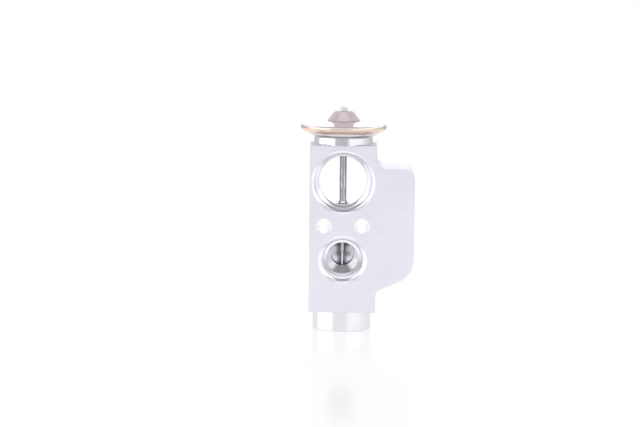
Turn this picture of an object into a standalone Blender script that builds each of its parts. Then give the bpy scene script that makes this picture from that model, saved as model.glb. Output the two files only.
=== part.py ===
"""Block-type thermostatic expansion valve of a vehicle air conditioner, about 99 mm tall.

One block of extruded and machined aluminium carries both refrigerant paths. Cold suction gas
crosses the upper half past the sensing rod. Liquid comes in low at the back, passes the ball
valve and leaves through the port low on the front. The stainless power head is screwed into
the collar on top: its diaphragm pushes the rod, the pin and the ball down against a spring.
The spring's preload is set by the screw in the turned foot, on which the valve stands.

Metres, +Z up. The front bolting face lies at Y = 0 and looks towards -Y, and the wing points
to +X. The origin is the middle of that face, halfway between the two bolt holes.
"""

import math

import bpy
import bmesh

# Port heights, chained up and down from the bolt holes at Z = 0
SUCTION_RISE = 0.0192
OUTLET_DROP = 0.0150
CHAMBER_ROOF = 0.0014
INLET_BELOW_SEAT = 0.0046
INLET_RISE = 0.0103
FOOT_HEIGHT = 0.0087
TOP_WALL = 0.0022
COLLAR_HEIGHT = 0.0034

# Slopes from the face of a seat's mouth and its lead-in, and half the point of a drill
MOUTH_SLOPE = math.radians(30)
LEAD_IN_SLOPE = math.radians(20)
DRILL_POINT = math.radians(75)

# Suction passage through the upper half, with the same pipe seat on the front and the back
SUCTION_MOUTH_R = 0.0140
SUCTION_CHAMFER = 0.0008
SUCTION_LAND = 0.0012
SUCTION_SEAT_R = 0.0124
SUCTION_BORE_R = 0.01075
SUCTION_EDGE = 0.0004

# Liquid outlet, low on the front
OUTLET_MOUTH_R = 0.0107
OUTLET_CHAMFER = 0.0010
OUTLET_LAND = 0.0008
OUTLET_SEAT_R = 0.0087
OUTLET_SEAT_DEPTH = 0.0070
OUTLET_BORE_R = 0.0070
OUTLET_BORE_DEPTH = 0.0095
PASSAGE_R = 0.0051
PASSAGE_LEDGE = 0.0002
PASSAGE_PAST_AXIS = 0.0030

# Liquid inlet, lower still on the back
INLET_MOUTH_R = 0.0086
INLET_CHAMFER = 0.0008
INLET_LAND = 0.0008
INLET_SEAT_R = 0.0070
INLET_SEAT_DEPTH = 0.0070
INLET_BORE_R = 0.0042

# Block, wing, collar and foot
SIDE_WALL = 0.0007
COLLAR_R = 0.0129
COLLAR_LEDGE = 0.0003
FOOT_R = 0.0129
TURNED_CHAMFER = 0.0004
RELIEF_WIDTH = 0.0022
RELIEF_ANGLE = math.radians(35)
EDGE_BREAK = 0.00025
BOLT_SPACING = 0.0168
BOLT_HOLE_R = 0.00315
BOLT_HOLE_CHAMFER = 0.0003
WING_REACH = 0.0167
WING_TOP_DROP = 0.0101
WING_ROOT_RADIUS = 0.0048
WING_TOP_RADIUS = 0.0048
WING_LOW_RADIUS = 0.0108
WING_TOE_RADIUS = 0.0033
WING_TOE_RISE = 0.0093
WING_SLOPE = math.radians(23.3)

# Clearances: for faces at rest on each other, for sliding fits, and across a sealed thread
REST_GAP = 0.0001
RUNNING_GAP = 0.0001
THREAD_GAP = 0.0003
HEAD_GAP = 0.0003
SHEET_GAP = 0.00005

# Valve bore: ball, seat and spring chamber
ORIFICE_R = 0.0016
SEAT_LIP = 0.0006
CHAMBER_R = 0.0054
BALL_R = 0.00238
CUP_R = 0.0031
CUP_EDGE = 0.0023
CUP_DRILL_R = 0.0007
FLANGE_R = 0.0047
FLANGE_THICKNESS = 0.0013
FLANGE_DROP = 0.0020
SPIGOT_R = 0.0028
CARRIER_SPIGOT = 0.0028
STROKE = 0.0008

# Spring, adjusting screw and its seal
WIRE_R = 0.0006
SPRING_R = 0.0037
SPRING_TURNS = 5
END_PITCH = 0.00135
SCREW_RECESS = 0.0012
SCREW_LENGTH = 0.0070
SCREW_R = 0.0061
SCREW_BORE_GAP = 0.0002
SCREW_TRAVEL = 0.0010
THREAD_RUN_OUT = 0.0020
SCREW_SPIGOT = 0.0020
SCREW_CHAMFER = 0.0004
SCREW_MOUTH = 0.0005
HEX_FLATS = 0.0060
HEX_DEPTH = 0.0043
SCREW_SEAL_R = 0.00065
SCREW_GROOVE_DEPTH = 0.0012
SCREW_SEAL_HEIGHT = 0.0044
SCREW_SEAL_PLAY = 0.00015

# Sensing rod, its seal and retainer, and the push pin
ROD_R = 0.001575
ROD_TAIL_R = 0.00135
ROD_TAIL_REACH = 0.0057
ROD_STEP = 0.0002
ROD_STEP_SPARE = 0.0004
ROD_CHAMFER = 0.0002
ROD_WINDOW_R = 0.0022
GUIDE_STEP_DROP = 0.0104
PIN_R = 0.0007
PIN_SOCKET = 0.0020
SEAL_R = 0.00075
SEAL_POCKET_DEPTH = 0.0034
WEB_WALL = 0.00055
RETAINER_FLANGE = 0.0009
RETAINER_BASE_R = 0.00245
RETAINER_WALL = 0.0003
RETAINER_RISE = 0.0015

# Power head
RIM_R = 0.0189
RIM_RISE = 0.0028
RIM_SHEET = 0.0008
RIM_LAND = 0.0006
PAN_R = 0.0137
PAN_CORNER = 0.0018
PAN_SHEET = 0.0009
PAN_WALL_ANGLE = math.radians(-16)
NECK_R = 0.0093
NECK_BORE_R = 0.0056
NECK_CHAMFER = 0.0004
NECK_END_GAP = 0.0006
HEAD_FLOOR_WALL = 0.0014
HEAD_MOUTH_CHAMFER = 0.0016
HEAD_SEAL_R = 0.0005
DIAPHRAGM_SHEET = 0.0002
DIAPHRAGM_WAVE = 0.0002
DIAPHRAGM_WAVE_COUNT = 2
DIAPHRAGM_FLAT_MARGIN = 0.0005
PLATE_MARGIN = 0.0017
PLATE_THICKNESS = 0.0013
PLATE_GAP = 0.0002
HUB_R = 0.0032
HUB_LENGTH = 0.0035
HUB_ROOF = 0.0005
UPPER_RIM_SHEET = 0.0008
RIM_BAND = 0.0017
CROWN_LEDGE = 0.0001
CROWN_RISE = 0.00165
DOME_SHEET = 0.0008

# Charging boss and its sealing ball
BOSS_R = 0.00715
BOSS_SHOULDER_R = 0.00525
BOSS_HEIGHT = 0.0042
BOSS_SKIRT = 0.0006
BOSS_ROUND = 0.0012
BOSS_FLARE_START = math.radians(34)
BOSS_FLARE_POWER = 1.12
BOSS_SPIGOT_R = 0.00275
BOSS_SPIGOT = 0.0007
CHARGE_HOLE_R = 0.0008
BALL_SEAT_R = 0.0020
SEAL_BALL_R = 0.00175

# Worked out from the sizes above
PASSAGE_RISE = OUTLET_BORE_R - PASSAGE_R - PASSAGE_LEDGE
OUTLET_Z = -OUTLET_DROP
PASSAGE_Z = OUTLET_Z + PASSAGE_RISE
SEAT_Z = OUTLET_Z - OUTLET_BORE_R - CHAMBER_ROOF
INLET_Z = SEAT_Z - INLET_BELOW_SEAT
BLOCK_BOTTOM = INLET_Z - INLET_RISE
BASE_Z = BLOCK_BOTTOM - FOOT_HEIGHT
SUCTION_Z = SUCTION_RISE
BLOCK_TOP = SUCTION_Z + SUCTION_MOUTH_R + TOP_WALL
COLLAR_TOP = BLOCK_TOP + COLLAR_HEIGHT
BLOCK_HALF_WIDTH = SUCTION_MOUTH_R + SIDE_WALL
BLOCK_DEPTH = 2 * (COLLAR_R + COLLAR_LEDGE)
AXIS_Y = BLOCK_DEPTH / 2
SEAL_MIDDLE_R = ROD_R + RUNNING_GAP + SEAL_R
SEAL_POCKET_R = SEAL_MIDDLE_R + SEAL_R + RUNNING_GAP
WEB_WIDTH = 2 * (SEAL_POCKET_R + WEB_WALL)
SUCTION_SEAT_DEPTH = (BLOCK_DEPTH - WEB_WIDTH) / 2
SUCTION_FLOOR = SUCTION_Z - SUCTION_BORE_R
SEAL_FLOOR = SUCTION_FLOOR - SEAL_POCKET_DEPTH
GUIDE_STEP_Z = SUCTION_FLOOR - GUIDE_STEP_DROP
NECK_HOLE_R = NECK_R + THREAD_GAP
HEAD_FLOOR = SUCTION_Z + SUCTION_SEAT_R + HEAD_FLOOR_WALL
HEAD_BASE = COLLAR_TOP + HEAD_GAP
RIM_UNDER = HEAD_BASE + RIM_RISE
RIM_TOP = RIM_UNDER + RIM_SHEET
PAN_FLOOR = HEAD_BASE + PAN_SHEET
DIAPHRAGM_UNDER = RIM_TOP + SHEET_GAP
UPPER_UNDER = DIAPHRAGM_UNDER + DIAPHRAGM_SHEET + SHEET_GAP
UPPER_RIM_TOP = UPPER_UNDER + UPPER_RIM_SHEET
CROWN_Z = UPPER_RIM_TOP + CROWN_RISE
DOME_FOOT_R = RIM_R - RIM_BAND
CROWN_R = BOSS_R + CROWN_LEDGE
BOSS_BASE = CROWN_Z + REST_GAP
BOSS_TOP = BOSS_BASE + BOSS_HEIGHT
PLATE_R = PAN_R - PLATE_MARGIN
DIAPHRAGM_FLAT_R = PLATE_R + DIAPHRAGM_FLAT_MARGIN
PLATE_TOP = DIAPHRAGM_UNDER - PLATE_GAP
PLATE_UNDER = PLATE_TOP - PLATE_THICKNESS
HUB_END = PLATE_UNDER - HUB_LENGTH
ROD_TOP = PLATE_TOP - HUB_ROOF - PLATE_GAP
ROD_STEP_Z = GUIDE_STEP_Z + STROKE + ROD_STEP_SPARE
ROD_END = PASSAGE_Z - PASSAGE_R + ROD_TAIL_REACH
SEAT_CONE_TOP = SEAT_Z + SEAT_LIP
BALL_Z = SEAT_CONE_TOP + ORIFICE_R - math.sqrt(2) * (BALL_R + REST_GAP)
CUP_CONE_Z = BALL_Z - math.sqrt(2) * (BALL_R + REST_GAP)
CUP_TOP = CUP_CONE_Z + CUP_EDGE
FLANGE_TOP = CUP_TOP - FLANGE_DROP
FLANGE_UNDER = FLANGE_TOP - FLANGE_THICKNESS
SCREW_BASE = BASE_Z + SCREW_RECESS
SCREW_TOP = SCREW_BASE + SCREW_LENGTH
SCREW_BORE_R = SCREW_R + SCREW_BORE_GAP
CHAMBER_FLOOR = SCREW_TOP + SCREW_TRAVEL + THREAD_RUN_OUT
SCREW_SEAL_MIDDLE_R = SCREW_BORE_R - SCREW_SEAL_R - SHEET_GAP
GROOVE_FLOOR = SCREW_BASE + SCREW_SEAL_HEIGHT
GROOVE_ROOF = GROOVE_FLOOR + 2 * (SCREW_SEAL_R + SCREW_SEAL_PLAY)

# How the shapes are built
OVER = 0.001
EMBED = 0.003
MERGE = 0.00001
SMOOTH_ANGLE = math.radians(32)
FINE_STEPS = 48
PORT_STEPS = 40
BORE_STEPS = 28
SMALL_STEPS = 24
CURVE_STEPS = 5
DOME_STEPS = 3
WIRE_STEPS = 12
RING_SIDES = 8
FLAT_ANGLE = math.radians(0.06)

FINISHES = {
    "milled_aluminium": ((0.80, 0.79, 0.84), 1.0, 0.32),
    "stainless_steel": ((0.72, 0.70, 0.69), 1.0, 0.16),
    "copper_plate": ((0.72, 0.56, 0.52), 1.0, 0.34),
    "polished_steel": ((0.62, 0.61, 0.60), 1.0, 0.10),
    "spring_steel": ((0.40, 0.40, 0.42), 1.0, 0.30),
    "brass": ((0.71, 0.57, 0.30), 1.0, 0.30),
    "green_rubber": ((0.05, 0.16, 0.09), 0.0, 0.55),
}


def clear_scene():
    for thing in list(bpy.data.objects):
        bpy.data.objects.remove(thing, do_unlink=True)


def new_collection(name):
    made = bpy.data.collections.new(name)
    bpy.context.scene.collection.children.link(made)
    return made


def finish_material(name):
    """One Principled BSDF for each finish, shared by the pieces that have it."""
    if name in bpy.data.materials:
        return bpy.data.materials[name]
    colour, metallic, roughness = FINISHES[name]
    made = bpy.data.materials.new(name)
    made.use_nodes = True
    shader = made.node_tree.nodes["Principled BSDF"]
    shader.inputs["Base Color"].default_value = (*colour, 1.0)
    shader.inputs["Metallic"].default_value = metallic
    shader.inputs["Roughness"].default_value = roughness
    return made


def arc(centre_r, centre_z, radius, start, end, steps=CURVE_STEPS):
    """Points (radius, height) along an arc, its angles counted from outwards, up positive."""
    turn = (end - start) / steps
    return [
        (
            centre_r + radius * math.cos(start + i * turn),
            centre_z + radius * math.sin(start + i * turn),
        )
        for i in range(steps + 1)
    ]


def add_turned(name, outline, steps, collection, closed=False):
    """A solid of revolution on the valve's axis.

    The outline is (radius, height) pairs from the top down its outer side. A closed outline
    has a hole along the axis, and an open one starts and ends on the axis.
    """
    edges = [(i, i + 1) for i in range(len(outline) - 1)]
    if closed:
        edges.append((len(outline) - 1, 0))
    mesh = bpy.data.meshes.new(name)
    mesh.from_pydata([(radius, 0.0, height) for radius, height in outline], edges, [])
    piece = bpy.data.objects.new(name, mesh)
    collection.objects.link(piece)
    piece.location = (0.0, AXIS_Y, 0.0)
    turn = piece.modifiers.new("Turn", "SCREW")
    turn.steps = steps
    turn.render_steps = steps
    turn.use_merge_vertices = True
    turn.merge_threshold = MERGE
    return piece


def face_front(piece, x, z):
    """Turn a solid so that its height runs out of the front face."""
    piece.location = (x, 0.0, z)
    piece.rotation_euler = (math.pi / 2, 0.0, 0.0)


def face_back(piece, x, z):
    """Turn a solid so that its height runs out of the back face."""
    piece.location = (x, BLOCK_DEPTH, z)
    piece.rotation_euler = (-math.pi / 2, 0.0, 0.0)


def as_tool(piece):
    piece.hide_render = True
    piece.display_type = "WIRE"
    return piece


def combine(piece, tool, operation):
    modifier = piece.modifiers.new(tool.name, "BOOLEAN")
    modifier.operation = operation
    modifier.solver = "EXACT"
    modifier.object = as_tool(tool)


def settle(piece, finish):
    """Make the modifiers' result the mesh itself, shade its round faces smooth, and colour it."""
    graph = bpy.context.evaluated_depsgraph_get()
    mesh = bpy.data.meshes.new_from_object(piece.evaluated_get(graph))
    mesh.name = piece.name
    mesh.shade_smooth()
    mesh.set_sharp_from_angle(angle=SMOOTH_ANGLE)
    piece.modifiers.clear()
    piece.data = mesh
    piece.data.materials.clear()
    piece.data.materials.append(finish_material(finish))
    return piece


def rounded(corners):
    """A closed outline of (x, z) points, with each corner given as (x, z, fillet radius)."""
    points = []
    for i, (x, z, radius) in enumerate(corners):
        if radius == 0:
            points.append((x, z))
            continue
        before = corners[i - 1]
        after = corners[(i + 1) % len(corners)]
        back = math.atan2(before[1] - z, before[0] - x)
        ahead = math.atan2(after[1] - z, after[0] - x)
        opening = (ahead - back + math.pi) % (2 * math.pi) - math.pi
        half = abs(opening) / 2
        middle = back + opening / 2
        reach = radius / math.sin(half)
        centre = (x + reach * math.cos(middle), z + reach * math.sin(middle))
        swing = math.copysign(math.pi / 2 - half, opening)
        facing = middle + math.pi
        points += arc(*centre, radius, facing + swing, facing - swing)
    return points


def add_plate(name, outline, thickness, collection):
    """A flat outline in the XZ plane, extruded from the front face back, as a closed mesh."""
    curve = bpy.data.curves.new(name, "CURVE")
    curve.dimensions = "2D"
    curve.fill_mode = "BOTH"
    curve.extrude = thickness / 2
    spline = curve.splines.new("POLY")
    spline.points.add(len(outline) - 1)
    for point, (x, z) in zip(spline.points, outline):
        point.co = (x, z, 0.0, 1.0)
    spline.use_cyclic_u = True
    guide = bpy.data.objects.new(name + "_outline", curve)
    collection.objects.link(guide)
    guide.location = (0.0, thickness / 2, 0.0)
    guide.rotation_euler = (math.pi / 2, 0.0, 0.0)
    bpy.context.view_layer.update()
    plate = as_mesh(name, guide, collection)
    bm = bmesh.new()
    bm.from_mesh(plate.data)
    bmesh.ops.dissolve_limit(bm, angle_limit=FLAT_ANGLE, verts=bm.verts, edges=bm.edges)
    bm.to_mesh(plate.data)
    bm.free()
    return plate


def as_mesh(name, guide, collection):
    """The mesh that a curve object makes, with its caps welded, in the curve's place."""
    graph = bpy.context.evaluated_depsgraph_get()
    mesh = bpy.data.meshes.new_from_object(guide.evaluated_get(graph))
    bm = bmesh.new()
    bm.from_mesh(mesh)
    bmesh.ops.remove_doubles(bm, verts=bm.verts, dist=MERGE)
    bmesh.ops.recalc_face_normals(bm, faces=bm.faces)
    bm.to_mesh(mesh)
    bm.free()
    made = bpy.data.objects.new(name, mesh)
    collection.objects.link(made)
    made.matrix_world = guide.matrix_world
    bpy.data.objects.remove(guide, do_unlink=True)
    return made


def seat_steps(mouth_r, chamfer, land, seat_r, depth):
    """(radius, depth) of a pipe seat: mouth chamfer, land, lead-in cone and seat."""
    rise = math.tan(MOUTH_SLOPE)
    land_r = mouth_r - chamfer
    land_depth = chamfer * rise
    lead_in = (land_r - seat_r) * math.tan(LEAD_IN_SLOPE)
    return [
        (mouth_r + OVER, -OVER * rise),
        (land_r, land_depth),
        (land_r, land_depth + land),
        (seat_r, land_depth + land + lead_in),
        (seat_r, depth),
    ]


def drill_tip(radius):
    """How far a drill's point reaches past its full width."""
    return radius / math.tan(DRILL_POINT)


def bored(name, steps_in, count, tools, through=False, tip=0.0):
    """A cutter from (radius, depth) steps counted into a face. One that goes through repeats
    the steps in reverse towards the far face, and a drilled one ends in a point."""
    down = [(radius, -depth) for radius, depth in steps_in]
    if through:
        down += [(radius, -BLOCK_DEPTH + depth) for radius, depth in reversed(steps_in)]
    outline = [(0.0, down[0][1])] + down + [(0.0, down[-1][1] - tip)]
    return add_turned(name, outline, count, tools)


def suction_cutter(tools):
    steps_in = seat_steps(
        SUCTION_MOUTH_R, SUCTION_CHAMFER, SUCTION_LAND, SUCTION_SEAT_R, SUCTION_SEAT_DEPTH
    )
    steps_in.append((SUCTION_BORE_R + SUCTION_EDGE, SUCTION_SEAT_DEPTH))
    steps_in.append((SUCTION_BORE_R, SUCTION_SEAT_DEPTH + SUCTION_EDGE))
    cutter = bored("suction_cutter", steps_in, FINE_STEPS, tools, through=True)
    face_front(cutter, 0.0, SUCTION_Z)
    return cutter


def outlet_cutter(tools):
    steps_in = seat_steps(
        OUTLET_MOUTH_R, OUTLET_CHAMFER, OUTLET_LAND, OUTLET_SEAT_R, OUTLET_SEAT_DEPTH
    )
    steps_in += [(OUTLET_BORE_R, OUTLET_SEAT_DEPTH), (OUTLET_BORE_R, OUTLET_BORE_DEPTH)]
    tip = drill_tip(OUTLET_BORE_R)
    cutter = bored("outlet_cutter", steps_in, PORT_STEPS, tools, tip=tip)
    face_front(cutter, 0.0, OUTLET_Z)
    return cutter


def passage_cutter(tools):
    """The drilled passage from the outlet to the valve's axis, set high in the port."""
    steps_in = [
        (PASSAGE_R, OUTLET_BORE_DEPTH - OVER),
        (PASSAGE_R, AXIS_Y + PASSAGE_PAST_AXIS),
    ]
    tip = drill_tip(PASSAGE_R)
    cutter = bored("passage_cutter", steps_in, BORE_STEPS, tools, tip=tip)
    face_front(cutter, 0.0, PASSAGE_Z)
    return cutter


def inlet_cutter(tools):
    steps_in = seat_steps(
        INLET_MOUTH_R, INLET_CHAMFER, INLET_LAND, INLET_SEAT_R, INLET_SEAT_DEPTH
    )
    steps_in += [(INLET_BORE_R, INLET_SEAT_DEPTH), (INLET_BORE_R, AXIS_Y)]
    cutter = bored("inlet_cutter", steps_in, PORT_STEPS, tools)
    face_back(cutter, 0.0, INLET_Z)
    return cutter


def bolt_cutter(side, tools):
    steps_in = [
        (BOLT_HOLE_R + BOLT_HOLE_CHAMFER + OVER, -OVER),
        (BOLT_HOLE_R, BOLT_HOLE_CHAMFER),
    ]
    name = "bolt_cutter_left" if side < 0 else "bolt_cutter_right"
    cutter = bored(name, steps_in, SMALL_STEPS, tools, through=True)
    face_front(cutter, side * BOLT_SPACING / 2, 0.0)
    return cutter


def valve_bore_cutter(tools):
    """The stepped bore on the valve's axis, from the power head's thread to the screw's."""
    outline = [
        (0.0, COLLAR_TOP + OVER),
        (NECK_HOLE_R + HEAD_MOUTH_CHAMFER + OVER, COLLAR_TOP + OVER),
        (NECK_HOLE_R, COLLAR_TOP - HEAD_MOUTH_CHAMFER),
        (NECK_HOLE_R, HEAD_FLOOR),
        (ROD_WINDOW_R, HEAD_FLOOR),
        (ROD_WINDOW_R, SUCTION_Z),
        (SEAL_POCKET_R, SUCTION_Z),
        (SEAL_POCKET_R, SEAL_FLOOR),
        (ROD_R + RUNNING_GAP, SEAL_FLOOR),
        (ROD_R + RUNNING_GAP, GUIDE_STEP_Z),
        (ROD_TAIL_R + RUNNING_GAP, GUIDE_STEP_Z),
        (ROD_TAIL_R + RUNNING_GAP, PASSAGE_Z),
        (ORIFICE_R, PASSAGE_Z),
        (ORIFICE_R, SEAT_CONE_TOP),
        (ORIFICE_R + SEAT_LIP, SEAT_Z),
        (CHAMBER_R, SEAT_Z),
        (CHAMBER_R, CHAMBER_FLOOR),
        (SCREW_BORE_R, CHAMBER_FLOOR),
        (SCREW_BORE_R, BASE_Z + SCREW_MOUTH),
        (SCREW_BORE_R + SCREW_MOUTH + OVER, BASE_Z - OVER),
        (0.0, BASE_Z - OVER),
    ]
    return add_turned("valve_bore_cutter", outline, BORE_STEPS, tools)


def relief_cutter(tools):
    """The cone turned round the collar's foot, which runs out through the front face."""
    outer = COLLAR_R + RELIEF_WIDTH
    inner = COLLAR_R - COLLAR_LEDGE
    rise = math.tan(RELIEF_ANGLE)
    top = BLOCK_TOP + OVER
    bottom = BLOCK_TOP - (outer - inner) * rise
    outline = [(0.0, top), (outer + OVER / rise, top), (inner, bottom), (0.0, bottom)]
    return add_turned("relief_cutter", outline, FINE_STEPS, tools)


def collar_blank(tools):
    outline = [
        (0.0, COLLAR_TOP),
        (COLLAR_R - TURNED_CHAMFER, COLLAR_TOP),
        (COLLAR_R, COLLAR_TOP - TURNED_CHAMFER),
        (COLLAR_R, BLOCK_TOP - EMBED),
        (0.0, BLOCK_TOP - EMBED),
    ]
    return add_turned("collar_blank", outline, FINE_STEPS, tools)


def foot_blank(tools):
    outline = [
        (0.0, BLOCK_BOTTOM + EMBED),
        (FOOT_R, BLOCK_BOTTOM + EMBED),
        (FOOT_R, BASE_Z + TURNED_CHAMFER),
        (FOOT_R - TURNED_CHAMFER, BASE_Z),
        (0.0, BASE_Z),
    ]
    return add_turned("foot_blank", outline, FINE_STEPS, tools)


def block_outline():
    """The extrusion's section: a plain block with the rounded wing on its right."""
    side = BLOCK_HALF_WIDTH
    tip = side + WING_REACH
    toe = BLOCK_BOTTOM + WING_TOE_RISE
    shoulder = BLOCK_TOP - WING_TOP_DROP
    return rounded(
        [
            (-side, BLOCK_BOTTOM, 0),
            (side, BLOCK_BOTTOM, 0),
            (side, toe, WING_TOE_RADIUS),
            (tip, toe + WING_REACH * math.tan(WING_SLOPE), WING_LOW_RADIUS),
            (tip, shoulder, WING_TOP_RADIUS),
            (side, shoulder, WING_ROOT_RADIUS),
            (side, BLOCK_TOP, 0),
            (-side, BLOCK_TOP, 0),
        ]
    )


def valve_body(valve, tools):
    body = add_plate("valve_body", block_outline(), BLOCK_DEPTH, valve)
    edges = body.modifiers.new("Broken edges", "BEVEL")
    edges.width = EDGE_BREAK
    edges.segments = 1
    combine(body, relief_cutter(tools), "DIFFERENCE")
    combine(body, collar_blank(tools), "UNION")
    combine(body, foot_blank(tools), "UNION")
    for cutter in (
        suction_cutter(tools),
        outlet_cutter(tools),
        passage_cutter(tools),
        inlet_cutter(tools),
        bolt_cutter(-1, tools),
        bolt_cutter(1, tools),
        valve_bore_cutter(tools),
    ):
        combine(body, cutter, "DIFFERENCE")
    return settle(body, "milled_aluminium")


def pan_arc(sheet):
    """The dish's rounded corner, outside for a sheet of 0 and inside for its thickness."""
    return arc(
        PAN_R, HEAD_BASE + PAN_CORNER, PAN_CORNER - sheet, PAN_WALL_ANGLE, -math.pi / 2
    )


def lower_shell(valve):
    """The dish of the power head, with its threaded neck."""
    outside = pan_arc(0.0)
    inside = pan_arc(PAN_SHEET)
    neck_end = HEAD_FLOOR + NECK_END_GAP
    outline = [(RIM_R, RIM_TOP), (RIM_R, RIM_UNDER)]
    outline += outside
    outline += [
        (NECK_R, HEAD_BASE),
        (NECK_R, neck_end + NECK_CHAMFER),
        (NECK_R - NECK_CHAMFER, neck_end),
        (NECK_BORE_R, neck_end),
        (NECK_BORE_R, PAN_FLOOR),
    ]
    outline += reversed(inside)
    outline.append((RIM_R - RIM_LAND, RIM_TOP))
    piece = add_turned("lower_shell", outline, FINE_STEPS, valve, closed=True)
    return settle(piece, "stainless_steel")


def dome_arc(sheet):
    """The cover's curve from its flat crown down, outside for a sheet of 0 and else inside."""
    run = DOME_FOOT_R - CROWN_R
    radius = (run ** 2 + CROWN_RISE ** 2) / (2 * CROWN_RISE)
    fall = math.asin(run / radius)
    top = math.pi / 2
    return arc(CROWN_R, CROWN_Z - radius, radius - sheet, top, top - fall, DOME_STEPS)


def upper_shell(valve):
    """The shallow dome that closes the charge above the diaphragm."""
    hole = BOSS_SPIGOT_R + REST_GAP
    outline = [(hole, CROWN_Z)]
    outline += dome_arc(0.0)
    outline += [(RIM_R, UPPER_RIM_TOP), (RIM_R, UPPER_UNDER)]
    outline += reversed(dome_arc(DOME_SHEET))
    outline.append((hole, CROWN_Z - DOME_SHEET))
    piece = add_turned("upper_shell", outline, FINE_STEPS, valve, closed=True)
    return settle(piece, "stainless_steel")


def diaphragm(valve):
    """A thin disc, flat on the plate and at its clamped rim, with waves between them."""
    span = RIM_R - RIM_LAND - DIAPHRAGM_FLAT_R
    count = DIAPHRAGM_WAVE_COUNT * CURVE_STEPS
    under = [(0.0, DIAPHRAGM_UNDER)]
    for i in range(count + 1):
        dip = DIAPHRAGM_WAVE * (1 - math.cos(2 * math.pi * i / CURVE_STEPS)) / 2
        under.append((DIAPHRAGM_FLAT_R + span * i / count, DIAPHRAGM_UNDER - dip))
    under.append((RIM_R, DIAPHRAGM_UNDER))
    top = [(radius, height + DIAPHRAGM_SHEET) for radius, height in under]
    piece = add_turned("diaphragm", top + under[::-1], BORE_STEPS, valve)
    return settle(piece, "spring_steel")


def diaphragm_plate(valve):
    """The stop plate that hands the diaphragm's push to the rod."""
    outline = [
        (0.0, PLATE_TOP),
        (PLATE_R, PLATE_TOP),
        (PLATE_R, PLATE_UNDER),
        (HUB_R, PLATE_UNDER),
        (HUB_R, HUB_END),
        (ROD_R + RUNNING_GAP, HUB_END),
        (ROD_R + RUNNING_GAP, PLATE_TOP - HUB_ROOF),
        (0.0, PLATE_TOP - HUB_ROOF),
    ]
    piece = add_turned("diaphragm_plate", outline, BORE_STEPS, valve)
    return settle(piece, "stainless_steel")


def boss_outline():
    """The bell's outline: rounded shoulder, flared side, short skirt and spigot."""
    skirt = BOSS_BASE + BOSS_SKIRT
    shoulder = arc(
        BOSS_SHOULDER_R - BOSS_ROUND,
        BOSS_TOP - BOSS_ROUND,
        BOSS_ROUND,
        math.pi / 2,
        BOSS_FLARE_START,
    )
    waist = shoulder[-1]
    flare = []
    for i in range(1, CURVE_STEPS):
        share = i / CURVE_STEPS
        spread = share ** BOSS_FLARE_POWER
        flare.append(
            (
                waist[0] + (BOSS_R - waist[0]) * spread,
                waist[1] + (skirt - waist[1]) * share,
            )
        )
    spigot_end = BOSS_BASE - BOSS_SPIGOT
    drill_end = BOSS_TOP - (BALL_SEAT_R - CHARGE_HOLE_R)
    return (
        [(BALL_SEAT_R, BOSS_TOP)]
        + shoulder
        + flare
        + [
            (BOSS_R, skirt),
            (BOSS_R, BOSS_BASE),
            (BOSS_SPIGOT_R, BOSS_BASE),
            (BOSS_SPIGOT_R, spigot_end),
            (CHARGE_HOLE_R, spigot_end),
            (CHARGE_HOLE_R, drill_end),
        ]
    )


def charge_boss(valve):
    piece = add_turned("charge_boss", boss_outline(), BORE_STEPS, valve, closed=True)
    return settle(piece, "copper_plate")


def add_ball(name, radius, height, finish, valve):
    outline = arc(0.0, height, radius, math.pi / 2, -math.pi / 2, 2 * CURVE_STEPS)
    outline[0] = (0.0, height + radius)
    outline[-1] = (0.0, height - radius)
    piece = add_turned(name, outline, SMALL_STEPS, valve)
    return settle(piece, finish)


def sealing_ball(valve):
    seat_tip = BOSS_TOP - BALL_SEAT_R
    height = seat_tip + math.sqrt(2) * (SEAL_BALL_R + REST_GAP)
    return add_ball("sealing_ball", SEAL_BALL_R, height, "polished_steel", valve)


def add_ring(name, middle_r, height, section_r, valve):
    """An O-ring."""
    outline = arc(middle_r, height, section_r, math.pi / 2, -3 * math.pi / 2, RING_SIDES)[:-1]
    piece = add_turned(name, outline, SMALL_STEPS, valve, closed=True)
    return settle(piece, "green_rubber")


def head_seal(valve):
    middle = NECK_R + RUNNING_GAP + HEAD_SEAL_R
    height = HEAD_BASE - RUNNING_GAP - HEAD_SEAL_R
    return add_ring("head_seal", middle, height, HEAD_SEAL_R, valve)


def rod_seal(valve):
    height = SEAL_FLOOR + REST_GAP + SEAL_R
    return add_ring("rod_seal", SEAL_MIDDLE_R, height, SEAL_R, valve)


def seal_retainer(valve):
    """The flared bush that holds the rod's seal down in its pocket."""
    flange_top = SUCTION_FLOOR - REST_GAP
    flange_r = SEAL_POCKET_R - RUNNING_GAP
    hole = ROD_R + RUNNING_GAP
    outline = [
        (hole + RETAINER_WALL, flange_top + RETAINER_RISE),
        (RETAINER_BASE_R, flange_top),
        (flange_r, flange_top),
        (flange_r, flange_top - RETAINER_FLANGE),
        (hole, flange_top - RETAINER_FLANGE),
        (hole, flange_top + RETAINER_RISE),
    ]
    piece = add_turned("seal_retainer", outline, SMALL_STEPS, valve, closed=True)
    return settle(piece, "stainless_steel")


def sensing_rod(valve):
    """The rod that feels the suction gas, with a slimmer tail drilled for the push pin."""
    outline = [
        (0.0, ROD_TOP),
        (ROD_R - ROD_CHAMFER, ROD_TOP),
        (ROD_R, ROD_TOP - ROD_CHAMFER),
        (ROD_R, ROD_STEP_Z + ROD_STEP),
        (ROD_TAIL_R, ROD_STEP_Z),
        (ROD_TAIL_R, ROD_END + ROD_CHAMFER),
        (ROD_TAIL_R - ROD_CHAMFER, ROD_END),
        (PIN_R + REST_GAP, ROD_END),
        (PIN_R + REST_GAP, ROD_END + PIN_SOCKET),
        (0.0, ROD_END + PIN_SOCKET),
    ]
    piece = add_turned("sensing_rod", outline, SMALL_STEPS, valve)
    return settle(piece, "stainless_steel")


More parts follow.
